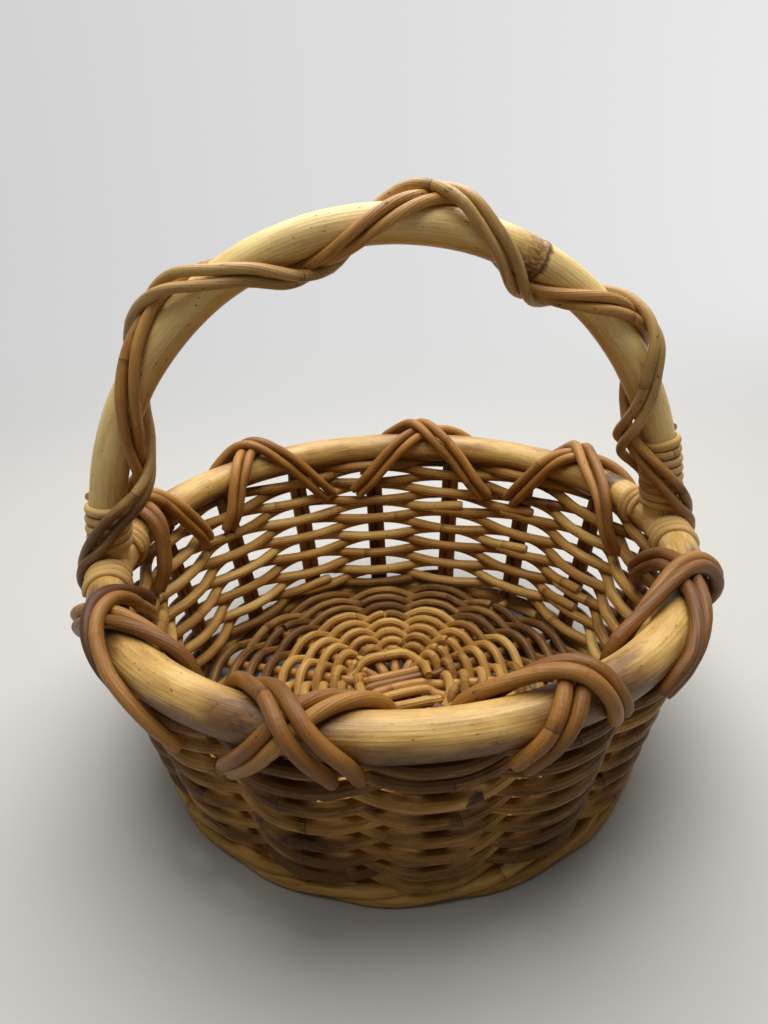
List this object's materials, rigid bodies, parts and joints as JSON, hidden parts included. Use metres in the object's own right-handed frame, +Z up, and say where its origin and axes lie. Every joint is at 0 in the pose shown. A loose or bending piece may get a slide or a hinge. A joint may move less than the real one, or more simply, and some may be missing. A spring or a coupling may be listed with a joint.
{
  "type": "rattan basket",
  "caption": "Round woven rattan basket with a thick pole rim, crossed border canes and a fixed arched handle twined with canes.",
  "frame": {"origin": "on the floor, at the middle of the base", "axes": "+Z up, +X through the handle's feet, so the handle stands over the X axis"},
  "size_m": [0.3818, 0.3767, 0.336],
  "materials": {
    "pole": "peeled rattan pole, satin lacquer",
    "weaver": "rattan cane, satin lacquer",
    "stake": "smoked rattan cane, satin",
    "border": "smoked rattan cane, satin lacquer",
    "twine": "rattan cane, satin lacquer",
    "binding": "flat split cane, satin"
  },
  "bodies": {
    "root": {"rim_hoop": "pole", "handle_pole": "pole", "handle_binding_left": "binding", "handle_binding_right": "binding", "rim_binding_left_front": "binding", "rim_binding_left_back": "binding", "rim_binding_right_front": "binding", "rim_binding_right_back": "binding", "handle_cane_under_1": "twine", "handle_cane_under_2": "twine", "handle_cane_over_1": "twine", "handle_cane_over_2": "twine", "stake_pair_01": "stake", "stake_pair_02": "stake", "stake_pair_03": "stake", "stake_pair_04": "stake", "stake_pair_05": "stake", "stake_pair_06": "stake", "stake_pair_07": "stake", "stake_pair_08": "stake", "stake_pair_09": "stake", "stake_pair_10": "stake", "stake_pair_11": "stake", "stake_pair_12": "stake", "stake_pair_13": "stake", "stake_pair_14": "stake", "stake_pair_15": "stake", "stake_pair_16": "stake", "foot_ring": "weaver", "wall_weaver_a_lower": "weaver", "wall_weaver_a_upper": "weaver", "wall_weaver_b_lower": "weaver", "wall_weaver_b_upper": "weaver", "base_stick_lower_1": "stake", "base_stick_lower_2": "stake", "base_stick_lower_3": "stake", "base_stick_lower_4": "stake", "base_stick_upper_1": "stake", "base_stick_upper_2": "stake", "base_stick_upper_3": "stake", "base_stick_upper_4": "stake", "base_weaver_a": "weaver", "base_weaver_b": "weaver", "border_pair_over_1": "border", "border_pair_over_2": "border", "border_pair_over_3": "border", "border_pair_over_4": "border", "border_pair_over_5": "border", "border_pair_over_6": "border", "border_pair_over_7": "border", "border_pair_over_8": "border", "border_pair_under_1": "border", "border_pair_under_2": "border", "border_pair_under_3": "border", "border_pair_under_4": "border", "border_pair_under_5": "border", "border_pair_under_6": "border", "border_pair_under_7": "border", "border_pair_under_8": "border"}
  },
  "joints": []
}
